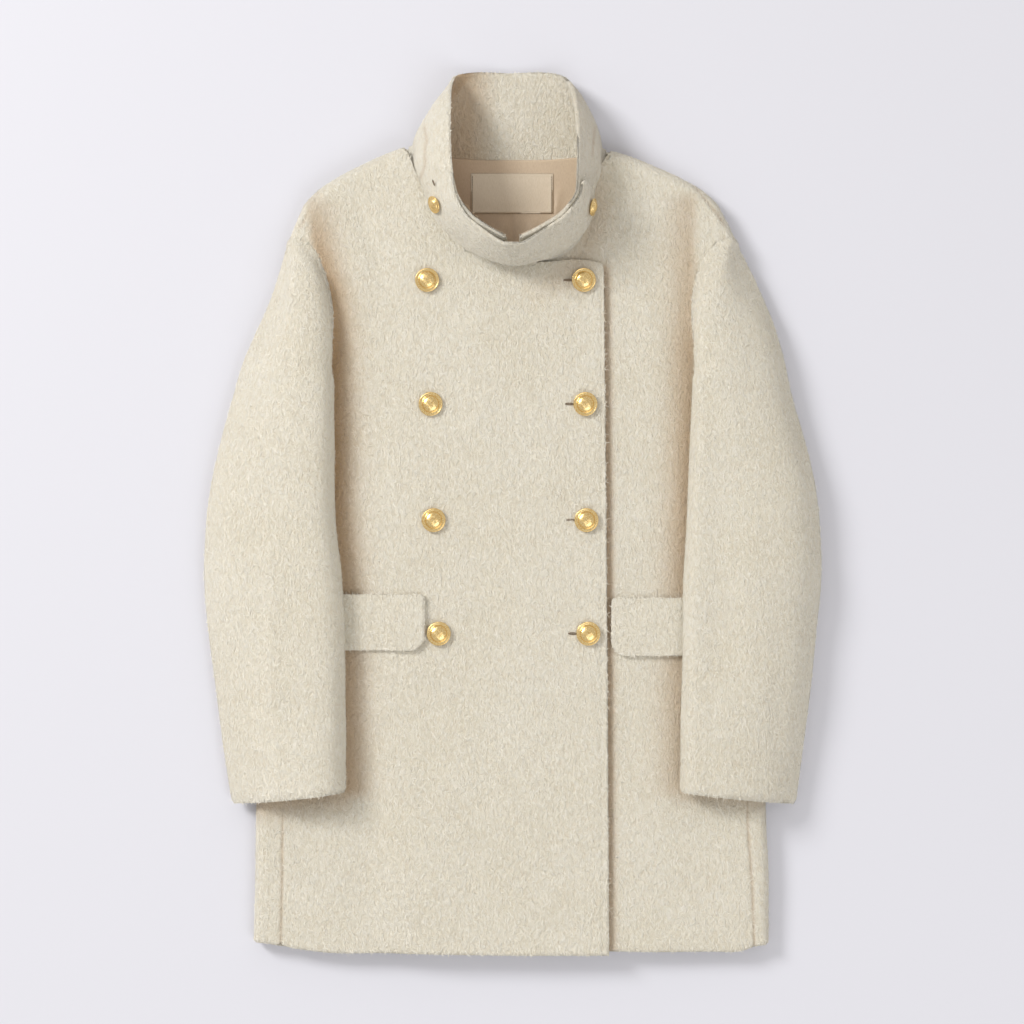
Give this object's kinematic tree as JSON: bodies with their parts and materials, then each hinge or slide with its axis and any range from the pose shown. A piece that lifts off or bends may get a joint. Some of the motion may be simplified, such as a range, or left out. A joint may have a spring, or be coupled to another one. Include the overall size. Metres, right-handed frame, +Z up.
{
  "type": "coat",
  "caption": "Double-breasted wool coat with stand collar, throat tab, flapped pockets and gilt buttons, laid flat with its front up",
  "frame": {"origin": "middle of the footprint, on the surface the coat lies on", "axes": "+Z up out of the surface, +Y from the hem to the collar, +X to the wearer's left"},
  "size_m": [0.6185, 0.885, 0.0861],
  "materials": {
    "boucle_wool": "cream boucle wool, brushed nap",
    "satin_lining": "beige satin",
    "label_satin": "bare woven satin",
    "gilt_brass": "polished gilt"
  },
  "bodies": {
    "root": {"back": "boucle_wool", "front_left": "boucle_wool", "front_right": "boucle_wool", "sleeve_right": "boucle_wool", "sleeve_left": "boucle_wool", "collar": "boucle_wool", "throat_tab": "boucle_wool", "flap_right": "boucle_wool", "flap_left": "boucle_wool", "neck_lining": "satin_lining", "neck_label": "label_satin", "button_right_1": "gilt_brass", "button_right_2": "gilt_brass", "button_right_3": "gilt_brass", "button_right_4": "gilt_brass", "button_left_1": "gilt_brass", "button_left_2": "gilt_brass", "button_left_3": "gilt_brass", "button_left_4": "gilt_brass", "tab_button_right": "gilt_brass", "tab_button_left": "gilt_brass"}
  },
  "joints": []
}
